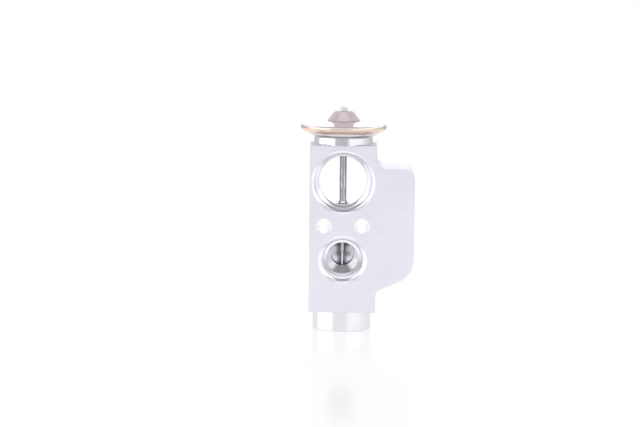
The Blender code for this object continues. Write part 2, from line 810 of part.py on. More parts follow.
def push_pin(valve):
    top = ROD_END + PIN_SOCKET - REST_GAP
    end = BALL_Z + BALL_R + REST_GAP
    outline = [(0.0, top), (PIN_R, top), (PIN_R, end), (0.0, end)]
    piece = add_turned("push_pin", outline, SMALL_STEPS, valve)
    return settle(piece, "polished_steel")


def valve_ball(valve):
    return add_ball("valve_ball", BALL_R, BALL_Z, "polished_steel", valve)


def ball_carrier(valve):
    """The cup under the ball, with the flange and spigot that take the spring."""
    end = FLANGE_UNDER - CARRIER_SPIGOT
    outline = [
        (CUP_EDGE, CUP_TOP),
        (CUP_R, CUP_TOP),
        (CUP_R, FLANGE_TOP),
        (FLANGE_R, FLANGE_TOP),
        (FLANGE_R, FLANGE_UNDER),
        (SPIGOT_R, FLANGE_UNDER),
        (SPIGOT_R, end),
        (0.0, end),
    ]
    cone = [(0.0, CUP_CONE_Z), (CUP_DRILL_R, CUP_CONE_Z), (CUP_DRILL_R, CUP_CONE_Z + CUP_DRILL_R)]
    piece = add_turned("ball_carrier", cone + outline, SMALL_STEPS, valve)
    return settle(piece, "brass")


def spring_points():
    """The wire's middle line: close end turns, and an even pitch between them."""
    start = SCREW_TOP + REST_GAP + WIRE_R
    end = FLANGE_UNDER - REST_GAP - WIRE_R
    middle_pitch = (end - start - 2 * END_PITCH) / (SPRING_TURNS - 2)
    points = []
    for i in range(SPRING_TURNS * WIRE_STEPS + 1):
        turned = i / WIRE_STEPS
        closed_turns = min(turned, 1) + max(turned - SPRING_TURNS + 1, 0)
        height = start + closed_turns * END_PITCH + (turned - closed_turns) * middle_pitch
        angle = 2 * math.pi * turned
        points.append((SPRING_R * math.cos(angle), SPRING_R * math.sin(angle), height))
    return points


def valve_spring(valve):
    curve = bpy.data.curves.new("valve_spring", "CURVE")
    curve.dimensions = "3D"
    curve.bevel_depth = WIRE_R
    curve.bevel_resolution = 2
    curve.use_fill_caps = True
    points = spring_points()
    spline = curve.splines.new("POLY")
    spline.points.add(len(points) - 1)
    for point, place in zip(spline.points, points):
        point.co = (*place, 1.0)
    guide = bpy.data.objects.new("valve_spring_wire", curve)
    valve.objects.link(guide)
    guide.location = (0.0, AXIS_Y, 0.0)
    bpy.context.view_layer.update()
    return settle(as_mesh("valve_spring", guide, valve), "spring_steel")


def adjusting_screw(valve, tools):
    """The screw that sets the spring's preload, with a groove for its seal and a hex socket."""
    outline = [
        (0.0, SCREW_TOP + SCREW_SPIGOT),
        (SPIGOT_R, SCREW_TOP + SCREW_SPIGOT),
        (SPIGOT_R, SCREW_TOP),
        (SCREW_R, SCREW_TOP),
        (SCREW_R, GROOVE_ROOF),
        (SCREW_R - SCREW_GROOVE_DEPTH, GROOVE_ROOF),
        (SCREW_R - SCREW_GROOVE_DEPTH, GROOVE_FLOOR),
        (SCREW_R, GROOVE_FLOOR),
        (SCREW_R, SCREW_BASE + SCREW_CHAMFER),
        (SCREW_R - SCREW_CHAMFER, SCREW_BASE),
        (0.0, SCREW_BASE),
    ]
    piece = add_turned("adjusting_screw", outline, BORE_STEPS, valve)
    top = SCREW_BASE + HEX_DEPTH
    corner_r = HEX_FLATS / math.sqrt(3)
    hexagon = [(0.0, top), (corner_r, top), (corner_r, SCREW_BASE - OVER), (0.0, SCREW_BASE - OVER)]
    combine(piece, add_turned("hex_cutter", hexagon, 6, tools), "DIFFERENCE")
    return settle(piece, "brass")


def screw_seal(valve):
    height = (GROOVE_FLOOR + GROOVE_ROOF) / 2
    return add_ring("screw_seal", SCREW_SEAL_MIDDLE_R, height, SCREW_SEAL_R, valve)


def carried_by(name, height, pieces, valve):
    """An empty on the valve's axis that carries the pieces which move together."""
    carrier = bpy.data.objects.new(name, None)
    valve.objects.link(carrier)
    carrier.location = (0.0, AXIS_Y, height)
    bpy.context.view_layer.update()
    for piece in pieces:
        piece.parent = carrier
        piece.matrix_parent_inverse = carrier.matrix_world.inverted()


def build_valve():
    clear_scene()
    valve = new_collection("expansion_valve")
    tools = new_collection("cutters")
    valve_body(valve, tools)
    lower_shell(valve)
    upper_shell(valve)
    diaphragm(valve)
    charge_boss(valve)
    sealing_ball(valve)
    head_seal(valve)
    rod_seal(valve)
    seal_retainer(valve)
    stroke_pieces = [
        diaphragm_plate(valve),
        sensing_rod(valve),
        push_pin(valve),
        valve_ball(valve),
        ball_carrier(valve),
    ]
    carried_by("valve_stroke", SEAT_Z, stroke_pieces, valve)
    screw_pieces = [adjusting_screw(valve, tools), screw_seal(valve), valve_spring(valve)]
    carried_by("screw_travel", SCREW_BASE, screw_pieces, valve)


build_valve()
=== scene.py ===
"""Looks of a block-type thermostatic expansion valve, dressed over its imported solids.

Every solid is replaced by a finer piece in the same place: the machined aluminium block, the
welded power head with its copper bell, and the rod, pin, ball, spring and screw inside.
Lengths are millimetres until a piece is drawn, and MM turns them into Blender's metres.
"""

import math

import bpy
from mathutils import Euler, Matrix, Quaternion, Vector


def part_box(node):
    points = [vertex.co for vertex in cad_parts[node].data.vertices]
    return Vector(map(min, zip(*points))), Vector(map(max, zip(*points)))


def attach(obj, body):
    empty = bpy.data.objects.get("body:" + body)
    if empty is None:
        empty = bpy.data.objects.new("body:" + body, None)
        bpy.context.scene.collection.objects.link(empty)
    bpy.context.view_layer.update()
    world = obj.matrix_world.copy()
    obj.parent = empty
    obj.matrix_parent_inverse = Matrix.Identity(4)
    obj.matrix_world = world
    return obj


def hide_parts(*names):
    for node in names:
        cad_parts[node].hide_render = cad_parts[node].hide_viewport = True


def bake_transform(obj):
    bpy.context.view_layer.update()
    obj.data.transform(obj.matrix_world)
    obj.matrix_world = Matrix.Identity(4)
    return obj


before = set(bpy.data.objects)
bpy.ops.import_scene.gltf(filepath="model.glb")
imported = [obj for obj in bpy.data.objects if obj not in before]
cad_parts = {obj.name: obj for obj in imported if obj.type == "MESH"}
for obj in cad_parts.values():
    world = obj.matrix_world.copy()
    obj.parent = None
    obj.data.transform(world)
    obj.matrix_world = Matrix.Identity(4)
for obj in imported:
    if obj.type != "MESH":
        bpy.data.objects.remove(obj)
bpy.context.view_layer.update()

MM = 0.001
MERGE = 0.000002
CREASE = math.radians(30)

# Steps round the axis, for the wide, the middling and the small turned pieces
FINE = 160
MEDIUM = 96
SMALL = 64


def box_mm(node):
    """The lowest and highest corners of a CAD node, in millimetres."""
    low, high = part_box(node)
    return low / MM, high / MM


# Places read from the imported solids
block_low, block_high = box_mm("valve_body")
DEPTH = block_high.y
AXIS_Y = DEPTH / 2
BASE_Z = block_low.z
COLLAR_TOP = block_high.z

# The block's outline, with its wing
HALF_WIDTH = 14.7
BLOCK_TOP = 35.4
BLOCK_BOTTOM = -38.3
EDGE_BREAK = 0.25
WING_TOP = 25.3
WING_TOE = -29.0
WING_SLOPE = math.radians(23.3)
WING_ROOT_RADIUS = 4.8
WING_TOP_RADIUS = 4.8
WING_LOW_RADIUS = 10.8
WING_TOE_RADIUS = 3.3

# The collar on top, with the groove, the land and the relief at its foot, and the foot below
COLLAR_R = 12.9
COLLAR_FOOT_Z = 35.1
GROOVE_R = 12.65
GROOVE_HEIGHT = 0.28
LAND_SET_BACK = 0.06
FOOT_R = 12.9
TURNED_CHAMFER = 0.4
RELIEF_R = 15.1
RELIEF_INNER_R = 12.6
RELIEF_ANGLE = math.radians(35)

# How far a cutter reaches past a face, and how deep a blank is sunk before it is joined on
PAST = 1.0
EMBED = 3.0

# Bores in the faces: radii, depths and slopes of each, from its mouth inwards
MOUTH_SLOPE = math.radians(30)
LEAD_IN_SLOPE = math.radians(20)
DRILL_POINT = math.radians(66)
LIP = 0.2
SUCTION_Z = 19.2
SUCTION_MOUTH_R = 14.0
SUCTION_CHAMFER = 0.8
SUCTION_LAND = 1.2
SUCTION_SEAT_R = 12.4
SUCTION_WEB = 9.375
WEB_SLOPE = math.radians(18)
WEB_EDGE = 0.3
SUCTION_BORE_R = 10.75
OUTLET_Z = -15.0
OUTLET_MOUTH_R = 10.7
OUTLET_CHAMFER = 1.0
OUTLET_LAND = 0.8
OUTLET_SEAT_R = 8.7
OUTLET_SEAT_DEPTH = 7.0
OUTLET_RISE = 0.12
OUTLET_BORE_R = 7.0
OUTLET_BORE_DEPTH = 9.5
PASSAGE_R = 5.2
PASSAGE_Z = -13.4
PASSAGE_DEPTH = AXIS_Y + 3.0
INLET_Z = -28.0
INLET_MOUTH_R = 8.6
INLET_CHAMFER = 0.8
INLET_LAND = 0.8
INLET_SEAT_R = 7.0
INLET_SEAT_DEPTH = 7.0
INLET_BORE_R = 4.2
BOLT_X = 8.4
BOLT_R = 3.15
BOLT_CHAMFER = 0.3

# Steps of the bore on the valve's axis, from the head's thread down to the screw's
NECK_HOLE_R = 9.6
NECK_HOLE_CHAMFER = 1.6
NECK_HOLE_FLOOR = 33.0
ROD_WINDOW_R = 2.2
SEAL_POCKET_R = 3.275
SEAL_FLOOR = 5.05
GUIDE_R = 1.675
GUIDE_STEP_Z = -1.95
TAIL_HOLE_R = 1.45
ORIFICE_R = 1.6
SEAT_LIP = 0.6
SEAT_Z = -23.4
CHAMBER_R = 5.4
CHAMBER_FLOOR = -35.8
SCREW_BORE_R = 6.3
SCREW_MOUTH = 0.5

# The welded head: its rim, dish, domed cover and bell, with swings and angles in degrees
WELD_R = 1.9
WELD_SPREAD = 30
RIM_INSET = 0.3
RIM_SHEET = 0.8
DISH_CORNER_R = 13.7
DISH_CORNER = 1.8
DISH_SHEET = 0.9
DISH_WALL_ANGLE = -16
HEAD_GAP = 0.3
NECK_R = 9.3
NECK_BORE_R = 5.6
CROWN_R = 7.25
DOME_FOOT_R = 17.2
DOME_SHEET = 0.8
DOME_SWING = -5
FLANGE_SWING = 42
COVER_HOLE_R = 2.85
BELL_GAP = 0.02
BELL_SHOULDER_R = 3.1
BELL_ROUND = 1.8
BELL_FLARE_START = 40
BELL_SKIRT = 0.15
BELL_LIP = 0.08
BELL_SPIGOT_R = 2.75
BELL_HOLE_R = 0.8
BALL_SEAT_R = 2.0

# The clouds in every finish: their size, and where in the noise's range a finish reaches its
# dark and its light colour
CLOUD_SIZE = 1000 / 60
COLOUR_RANGE = (0.3, 0.7)

# The patches of a heat tint: their size, where in the noise's range they start and end, and
# the tint's share where it is weakest
PATCH_SIZE = 1000 / 90
PATCH_RANGE = (0.3, 0.6)
PATCH_WEAKEST = 0.55

# Sockets of a Mix node of colours, which shares their names with its other types
MIX_FACTOR = 0
MIX_A = 6
MIX_B = 7
MIX_RESULT = 2

# The white tent round the valve: its brightest panel, then what it sends in from each side.
# Angles are degrees, counted from the camera's side and positive to the right, or up.
TENT_PEAK = 1.6
TENT_AROUND = [
    (-180, 1.18),
    (-175, 1.18),
    (-167, 0.50),
    (-150, 0.62),
    (-114, 0.68),
    (-106, 1.56),
    (-42, 1.56),
    (-30, 0.56),
    (14, 0.56),
    (26, 1.1),
    (72, 1.1),
    (84, 0.92),
    (130, 0.62),
    (167, 0.48),
    (175, 1.18),
    (180, 1.18),
]
TENT_ABOVE = [
    (-90, 1.46),
    (27, 1.46),
    (31, 0.36),
    (42, 0.36),
    (50, 1.0),
    (60, 1.46),
    (90, 1.46),
]
TENT_BACK = 1.2
TENT_TINT = (1.0, 0.995, 1.008)
BACK_FADE = 0.1
BAND_TOP = math.radians(8)
BAND_FADE = math.radians(4)

# The table: its side, its matt share and how much of it mirrors, more where it is itself seen
# in a mirror
TABLE_SIDE = 800.0
TABLE_GREY = 0.9
TABLE_GLOW = 1.03
TABLE_MATT = 0.18
TABLE_GLOSS = 0.2
TABLE_GLOSS_MIRRORED = 0.2
TABLE_ROUGHNESS = 0.12

# The camera: millimetres for its place, lens, film and reach, degrees for its tilt and roll
CAMERA_X = -10.07
CAMERA_DISTANCE = 1310.0
CAMERA_HEIGHT = 144.5
CAMERA_TILT = 6.12
CAMERA_ROLL = 0.65
CAMERA_LENS = 167.0
CAMERA_FILM = 36.0
CAMERA_NEAR = 50.0
CAMERA_FAR = 30000.0

WHITE = (1.0, 1.0, 1.0, 1.0)


def linear(code):
    """A linear colour from an sRGB hex code."""
    shares = [int(code[i:i + 2], 16) / 255 for i in (1, 3, 5)]
    flat = [s / 12.92 if s <= 0.04045 else ((s + 0.055) / 1.055) ** 2.4 for s in shares]
    return (*flat, 1.0)


def add_node(tree, kind, values=None, links=None, **settings):
    """One shader node with its settings, its input values and the links into it."""
    made = tree.nodes.new("ShaderNode" + kind)
    for name, value in settings.items():
        setattr(made, name, value)
    for name, value in (values or {}).items():
        made.inputs[name].default_value = value
    for name, output in (links or {}).items():
        tree.links.new(output, made.inputs[name])
    return made


def grained(name, dark, light, roughness, spread, stretch, grain, bump, metallic=1.0):
    """A finish whose colour, gloss and relief follow one stretched grain.

    dark and light are the colours between which the grain runs, spread is how far the
    roughness varies, stretch squeezes the pattern along each axis, grain is the pattern's
    size in millimetres and bump its depth in millimetres.
    """
    made = bpy.data.materials.new(name)
    made.use_nodes = True
    tree = made.node_tree
    shader = tree.nodes["Principled BSDF"]
    place = add_node(tree, "TexCoord")
    fitted = add_node(tree, "Mapping", {"Scale": stretch}, {"Vector": place.outputs["Object"]})
    fine = add_node(
        tree,
        "TexNoise",
        {"Scale": 1 / (grain * MM), "Detail": 3.0, "Roughness": 0.6},
        {"Vector": fitted.outputs["Vector"]},
    )
    cloud = add_node(
        tree,
        "TexNoise",
        {"Scale": 1 / (CLOUD_SIZE * MM), "Detail": 2.0},
        {"Vector": place.outputs["Object"]},
    )
    mixed = add_node(
        tree,
        "Mix",
        {"Factor": 0.5},
        {"A": fine.outputs["Fac"], "B": cloud.outputs["Fac"]},
        data_type="FLOAT",
    )
    tint = add_node(tree, "ValToRGB", links={"Fac": mixed.outputs["Result"]})
    for mark, position, colour in zip(tint.color_ramp.elements, COLOUR_RANGE, (dark, light)):
        mark.position = position
        mark.color = linear(colour)
    gloss = add_node(
        tree,
        "MapRange",
        {"To Min": roughness - spread, "To Max": roughness + spread},
        {"Value": fine.outputs["Fac"]},
    )
    relief = add_node(
        tree, "Bump", {"Strength": 1.0, "Distance": bump * MM}, {"Height": fine.outputs["Fac"]}
    )
    tree.links.new(tint.outputs["Color"], shader.inputs["Base Color"])
    tree.links.new(gloss.outputs["Result"], shader.inputs["Roughness"])
    tree.links.new(relief.outputs["Normal"], shader.inputs["Normal"])
    shader.inputs["Metallic"].default_value = metallic
    return made


def heat_tinted(finish, colour, start, end, upright=False):
    """Colour a finish as welding heat does, in patches that rise from one radius to another.

    An upright tint rises from one height to another instead.
    """
    tree = finish.node_tree
    shader = tree.nodes["Principled BSDF"]
    bare = shader.inputs["Base Color"].links[0].from_socket
    place = add_node(tree, "TexCoord")
    centred = add_node(
        tree,
        "Mapping",
        {"Location": (0.0, -AXIS_Y * MM, 0.0), "Scale": (1.0, 1.0, 0.0)},
        {"Vector": place.outputs["Object"]},
    )
    radius = add_node(
        tree, "VectorMath", links={0: centred.outputs["Vector"]}, operation="LENGTH"
    )
    split = add_node(tree, "SeparateXYZ", links={"Vector": place.outputs["Object"]})
    reached = split.outputs["Z"] if upright else radius.outputs["Value"]
    near = add_node(
        tree, "MapRange", {"From Min": start * MM, "From Max": end * MM}, {"Value": reached}
    )
    patches = add_node(
        tree,
        "TexNoise",
        {"Scale": 1 / (PATCH_SIZE * MM), "Detail": 2.0},
        {"Vector": place.outputs["Object"]},
    )
    uneven = add_node(
        tree,
        "MapRange",
        {
            "From Min": PATCH_RANGE[0],
            "From Max": PATCH_RANGE[1],
            "To Min": PATCH_WEAKEST,
            "To Max": 1.0,
        },
        {"Value": patches.outputs["Fac"]},
    )
    share = add_node(
        tree,
        "Math",
        links={0: near.outputs["Result"], 1: uneven.outputs["Result"]},
        operation="MULTIPLY",
    )
    tinted = add_node(
        tree,
        "Mix",
        {MIX_B: linear(colour)},
        {MIX_FACTOR: share.outputs[0], MIX_A: bare},
        data_type="RGBA",
    )
    tree.links.new(tinted.outputs[MIX_RESULT], shader.inputs["Base Color"])
    return finish


def deselect_all():
    """Leave nothing selected, so that an operator reaches only the piece that comes next."""
    bpy.ops.object.select_all(action="DESELECT")


def select_only(piece):
    """Make one piece the only one that the next operators reach."""
    deselect_all()
    piece.select_set(True)
    bpy.context.view_layer.objects.active = piece


def draw(name, points):
    """A new piece of one corner, extruded through the points; it stays in edit mode."""
    deselect_all()
    bpy.ops.mesh.primitive_plane_add(size=MM)
    piece = bpy.context.object
    piece.name = name
    bpy.ops.object.mode_set(mode="EDIT")
    bpy.ops.mesh.merge(type="CENTER")
    bpy.ops.transform.translate(value=Vector(points[0]) * MM)
    for before, after in zip(points, points[1:]):
        step = (Vector(after) - Vector(before)) * MM
        bpy.ops.mesh.extrude_vertices_move(TRANSFORM_OT_translate={"value": step})
    return piece


def close_outline(piece):
    """Join the last drawn corner to the first."""
    bpy.ops.object.mode_set(mode="OBJECT")
    last = len(piece.data.vertices) - 1
    for corner in piece.data.vertices:
        corner.select = corner.index in (0, last)
    for edge in piece.data.edges:
        edge.select = False
    bpy.ops.object.mode_set(mode="EDIT")
    bpy.ops.mesh.edge_face_add()


def pushed_out(name, corners, step):
    """A solid from a flat outline, pushed out by a step; it stays in edit mode."""
    piece = draw(name, corners)
    bpy.ops.mesh.select_all(action="SELECT")
    bpy.ops.mesh.edge_face_add()
    reach = tuple(length * MM for length in step)
    bpy.ops.mesh.extrude_region_move(TRANSFORM_OT_translate={"value": reach})
    bpy.ops.mesh.select_all(action="SELECT")
    bpy.ops.mesh.normals_make_consistent(inside=False)
    return piece


def turned(name, outline, steps=FINE, hollow=True, finish=None):
    """A piece turned on the valve's axis from (radius, height) points down its outer side.

    The outline of a hollow piece is closed. That of a solid one starts and ends on the axis.
    """
    piece = draw(name, [(radius, AXIS_Y, height) for radius, height in outline])
    if hollow:
        close_outline(piece)
    bpy.ops.mesh.select_all(action="SELECT")
    bpy.ops.mesh.spin(
        steps=steps, angle=2 * math.pi, center=(0.0, AXIS_Y * MM, 0.0), axis=(0.0, 0.0, 1.0)
    )
    bpy.ops.mesh.select_all(action="SELECT")
    bpy.ops.mesh.remove_doubles(threshold=MERGE)
    bpy.ops.mesh.normals_make_consistent(inside=False)
    bpy.ops.object.mode_set(mode="OBJECT")
    if finish:
        piece.data.materials.append(finish)
    return piece


def cut(piece, tool, operation="DIFFERENCE"):
    """Cut a tool from a piece, or join it on. The new faces take the tool's finish."""
    select_only(piece)
    change = piece.modifiers.new("Cut", "BOOLEAN")
    change.operation = operation
    change.object = tool
    change.material_mode = "TRANSFER"
    bpy.ops.object.modifier_apply(modifier=change.name)
    bpy.data.objects.remove(tool, do_unlink=True)


def finish_piece(piece, body, node, finish=None):
    """Shade a finished shape, give it its finish, and let it ride in place of its solid.

    A piece with no body stays where it is drawn. One with no node stands for no
    solid of its own, and one with no finish keeps the finishes that its cuts gave it.
    """
    select_only(piece)
    bpy.ops.object.shade_smooth_by_angle(angle=CREASE)
    level = piece.modifiers.new("Flat faces stay flat", "WEIGHTED_NORMAL")
    level.keep_sharp = True
    bpy.ops.object.modifier_apply(modifier=level.name)
    if finish:
        piece.data.materials.clear()
        piece.data.materials.append(finish)
    if body:
        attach(piece, body)
    if node:
        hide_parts(node)


def arc(centre, radius, start, end, steps=8):
    """Points along an arc, its angles in degrees counted from outwards, up positive."""
    turns = [math.radians(start + (end - start) * i / steps) for i in range(steps + 1)]
    return [
        (centre[0] + radius * math.cos(turn), centre[1] + radius * math.sin(turn))
        for turn in turns
    ]


def bulged(start, end, swing, steps=12):
    """Points from one to the other on an arc that bulges left by turning swing degrees."""
    run = end[0] - start[0]
    rise = end[1] - start[1]
    facing = math.atan2(run, -rise)
    half = math.radians(swing / 2)
    radius = math.hypot(run, rise) / (2 * math.sin(half))
    reach = radius * math.cos(half)
    centre = (
        (start[0] + end[0]) / 2 - reach * math.cos(facing),
        (start[1] + end[1]) / 2 - reach * math.sin(facing),
    )
    middle = math.degrees(facing)
    return arc(centre, radius, middle + swing / 2, middle - swing / 2, steps)


def rounded(corners):
    """An outline of (x, z) points from corners given as (x, z, fillet radius)."""
    points = []
    for i, (x, z, radius) in enumerate(corners):
        if radius == 0:
            points.append((x, z))
            continue
        before = corners[i - 1]
        after = corners[(i + 1) % len(corners)]
        back = math.atan2(before[1] - z, before[0] - x)
        ahead = math.atan2(after[1] - z, after[0] - x)
        opening = (ahead - back + math.pi) % (2 * math.pi) - math.pi
        middle = back + opening / 2
        reach = radius / math.sin(abs(opening) / 2)
        centre = (x + reach * math.cos(middle), z + reach * math.sin(middle))
        swing = math.copysign(90 - math.degrees(abs(opening) / 2), opening)
        facing = math.degrees(middle) + 180
        points += arc(centre, radius, facing + swing, facing - swing, steps=12)
    return points


# The finishes. Real tool marks, die lines and grains are under 0.1 mm, too fine to show in the
# render, so their patterns are drawn as coarse as they need to show, at 0.25 to 2 mm.

# The bolting faces and the wing's: milled aluminium, tumbled to an even pale satin that only
# hints at the cutter's path.
milled = grained(
    "milled_aluminium", dark="#EEECF6", light="#F7F5FD",
    roughness=0.52, spread=0.04, stretch=(0.25, 1.0, 1.0), grain=0.9, bump=0.002,
)
# The block's sides: extruded aluminium, with faint die lines that run from front to back.
extruded = grained(
    "extruded_aluminium", dark="#E2E0EA", light="#EEECF5",
    roughness=0.40, spread=0.05, stretch=(1.0, 0.03, 1.0), grain=0.5, bump=0.008,
)
# The bores in the faces: aluminium cut by a form tool, with fine bright rings.
bored = grained(
    "bored_aluminium", dark="#E0DFE6", light="#F0EFF5",
    roughness=0.15, spread=0.04, stretch=(0.3, 1.0, 0.3), grain=0.25, bump=0.002,
)
# The mouths of the bores: chamfers cut with a worn tool, duller than the bores behind them.
chamfered = grained(
    "chamfered_aluminium", dark="#F0EFF6", light="#F9F8FC",
    roughness=0.34, spread=0.04, stretch=(0.3, 1.0, 0.3), grain=0.3, bump=0.002,
)
# The passages behind the outlet's seat: drilled aluminium, a little duller, its colour darkened
# as painted shade for the shade deep inside the holes.
drilled = grained(
    "drilled_aluminium_painted_shade", dark="#BEBDC4", light="#CECDD4",
    roughness=0.18, spread=0.04, stretch=(0.3, 1.0, 0.3), grain=0.3, bump=0.003,
)
# The collar, the foot and the bore on the axis: aluminium turned with a sharp tool, nearly a
# mirror along its rings.
lathed = grained(
    "lathed_aluminium", dark="#E8E7EE", light="#F6F5FA",
    roughness=0.13, spread=0.03, stretch=(0.02, 0.02, 1.0), grain=0.35, bump=0.002,
)
# The plate inside the head: stainless sheet, bright from the rolling mill.
stainless = grained(
    "bright_stainless", dark="#EAE9E9", light="#F3F2F2",
    roughness=0.07, spread=0.02, stretch=(1.0, 1.0, 1.0), grain=2.0, bump=0.001,
)
# The head's dish: duller stainless sheet, coloured straw by the welding at its rim.
warm_stainless = heat_tinted(
    grained(
        "straw_stainless", dark="#D6D4D3", light="#E6E4E2",
        roughness=0.30, spread=0.04, stretch=(1.0, 1.0, 1.0), grain=2.0, bump=0.001,
    ),
    "#F0D8C6", start=14.8, end=16.4,
)
# The cover: bright stainless sheet, burnt brown in a narrow ring beside the weld.
burnt_stainless = heat_tinted(
    grained(
        "burnt_stainless", dark="#EAE9E9", light="#F3F2F2",
        roughness=0.07, spread=0.02, stretch=(1.0, 1.0, 1.0), grain=2.0, bump=0.001,
    ),
    "#86695A", start=16.7, end=17.7,
)
# The weld round the rim: melted stainless steel, greyer and less even than the sheet, and
# straw-coloured underneath.
welded = heat_tinted(
    grained(
        "welded_stainless", dark="#D6D1CF", light="#EEE9E6",
        roughness=0.20, spread=0.05, stretch=(1.0, 1.0, 1.0), grain=1.2, bump=0.008,
    ),
    "#EED0B8", start=43.3, end=42.7, upright=True,
)
# The bell: turned steel under a thin copper plate that has gone pale.
copper = grained(
    "copper_plate", dark="#B2A6AA", light="#C4B8BC",
    roughness=0.34, spread=0.03, stretch=(0.1, 0.1, 1.0), grain=0.5, bump=0.002,
)
# The rod and its bush: drawn bar with fine light and dark streaks along its length.
drawn_steel = grained(
    "drawn_steel", dark="#9A999E", light="#F4F3F5",
    roughness=0.09, spread=0.03, stretch=(1.0, 1.0, 0.05), grain=0.35, bump=0.006,
)
# The pin and the balls: steel ground and polished until it mirrors.
ground_steel = grained(
    "ground_steel", dark="#D2D0D0", light="#E6E4E4",
    roughness=0.05, spread=0.02, stretch=(0.1, 0.1, 1.0), grain=0.4, bump=0.001,
)
# The spring and the waved disc: hard rolled steel, darker, with a dull shine.
spring_steel = grained(
    "spring_steel", dark="#6E6E72", light="#8A8A8E",
    roughness=0.30, spread=0.05, stretch=(1.0, 1.0, 1.0), grain=0.5, bump=0.003,
)
# The carrier and the screw: free-cutting brass with turning rings.
brass = grained(
    "turned_brass", dark="#B8934A", light="#D0AC62",
    roughness=0.28, spread=0.05, stretch=(0.05, 0.05, 1.0), grain=0.4, bump=0.004,
)
# The rings: moulded green nitrile rubber, dull and slightly grainy.
rubber = grained(
    "nitrile_rubber", dark="#123020", light="#1B4630", metallic=0.0,
    roughness=0.55, spread=0.05, stretch=(1.0, 1.0, 1.0), grain=0.6, bump=0.006,
)


def block_corners():
    """The block's corners and the wing's, as (x, z, fillet radius)."""
    tip = block_high.x
    return [
        (-HALF_WIDTH, BLOCK_BOTTOM, 0),
        (HALF_WIDTH, BLOCK_BOTTOM, 0),
        (HALF_WIDTH, WING_TOE, WING_TOE_RADIUS),
        (tip, WING_TOE + (tip - HALF_WIDTH) * math.tan(WING_SLOPE), WING_LOW_RADIUS),
        (tip, WING_TOP, WING_TOP_RADIUS),
        (HALF_WIDTH, WING_TOP, WING_ROOT_RADIUS),
        (HALF_WIDTH, BLOCK_TOP, 0),
        (-HALF_WIDTH, BLOCK_TOP, 0),
    ]


def seat_steps(mouth_r, chamfer, land, seat_r, depth):
    """(radius, depth) of a pipe seat: mouth, land and lead-in, with a broken inner edge."""
    land_r = mouth_r - chamfer
    land_depth = chamfer * math.tan(MOUTH_SLOPE)
    slope = math.tan(LEAD_IN_SLOPE)
    seat_depth = land_depth + land + (land_r - seat_r) * slope
    return [
        (mouth_r + PAST, -PAST * math.tan(MOUTH_SLOPE)),
        (land_r, land_depth),
        (land_r, land_depth + land),
        (seat_r + LIP, seat_depth - LIP * slope),
        (seat_r, seat_depth + LIP),
        (seat_r, depth),
    ]


def drill_tip(radius):
    """How far a drill's point reaches past its full width."""
    return radius / math.tan(DRILL_POINT)


def bore_tool(name, steps_in, x, z, side=1, through=False, tip=0.0, finish=None, mouth=0.0):
    """A cutter from (radius, depth) steps into the front or, with a side of -1, the back.

    A through cutter has the same steps at both ends. What it cuts down to the depth of the
    mouth is chamfered, and the rest takes the finish, or is bored.
    """
    down = [(radius, -inward) for radius, inward in steps_in]
    if through:
        down += [(radius, inward - DEPTH) for radius, inward in reversed(steps_in)]
    outline = [(0.0, down[0][1])] + down + [(0.0, down[-1][1] - tip)]
    tool = turned(name, outline, hollow=False, finish=finish or bored)
    tool.data.materials.append(chamfered)
    for face in tool.data.polygons:
        depth = -face.center.z / MM
        if depth < mouth or (through and depth > DEPTH - mouth):
            face.material_index = 1
    tool.rotation_euler = (math.pi / 2 * side, 0.0, 0.0)
    face_y = 0.0 if side > 0 else DEPTH
    tool.location = Vector((x, face_y, z)) * MM
    bpy.context.view_layer.update()
    # The tool was turned on the valve's axis, so its own axis is moved back by as much
    shift = tool.matrix_world.to_3x3() @ Vector((0.0, AXIS_Y * MM, 0.0))
    tool.location -= shift
    return tool


def suction_tool():
    """The suction bore: a pipe seat at each end, and the narrower web between them."""
    rise = (SUCTION_SEAT_R - SUCTION_BORE_R - WEB_EDGE) * math.tan(WEB_SLOPE) / 2
    steps_in = seat_steps(
        SUCTION_MOUTH_R, SUCTION_CHAMFER, SUCTION_LAND, SUCTION_SEAT_R, SUCTION_WEB - rise
    )
    steps_in += [
        (SUCTION_BORE_R + WEB_EDGE, SUCTION_WEB + rise),
        (SUCTION_BORE_R, SUCTION_WEB + rise + WEB_EDGE),
    ]
    mouth = steps_in[1][1]
    return bore_tool("suction_tool", steps_in, 0.0, SUCTION_Z, through=True, mouth=mouth)


def outlet_tool():
    """The outlet's pipe seat, with a floor that slopes a little."""
    steps_in = seat_steps(
        OUTLET_MOUTH_R,
        OUTLET_CHAMFER,
        OUTLET_LAND,
        OUTLET_SEAT_R,
        OUTLET_SEAT_DEPTH - OUTLET_RISE,
    )
    steps_in.append((OUTLET_BORE_R, OUTLET_SEAT_DEPTH + OUTLET_RISE))
    return bore_tool("outlet_tool", steps_in, 0.0, OUTLET_Z, mouth=steps_in[1][1])


def outlet_bore_tool():
    """The drilled bore behind the outlet's seat, with a coned floor."""
    steps_in = [(OUTLET_BORE_R, OUTLET_SEAT_DEPTH - PAST), (OUTLET_BORE_R, OUTLET_BORE_DEPTH)]
    tip = drill_tip(OUTLET_BORE_R)
    # Its walls take the drilled finish, whose darker colour is painted shade.
    return bore_tool("outlet_bore_tool", steps_in, 0.0, OUTLET_Z, tip=tip, finish=drilled)


def passage_tool():
    """The drilled passage from the outlet's bore to the orifice."""
    steps_in = [(PASSAGE_R, OUTLET_BORE_DEPTH - PAST), (PASSAGE_R, PASSAGE_DEPTH)]
    tip = drill_tip(PASSAGE_R)
    # Its walls take the drilled finish, whose darker colour is painted shade.
    return bore_tool("passage_tool", steps_in, 0.0, PASSAGE_Z, tip=tip, finish=drilled)


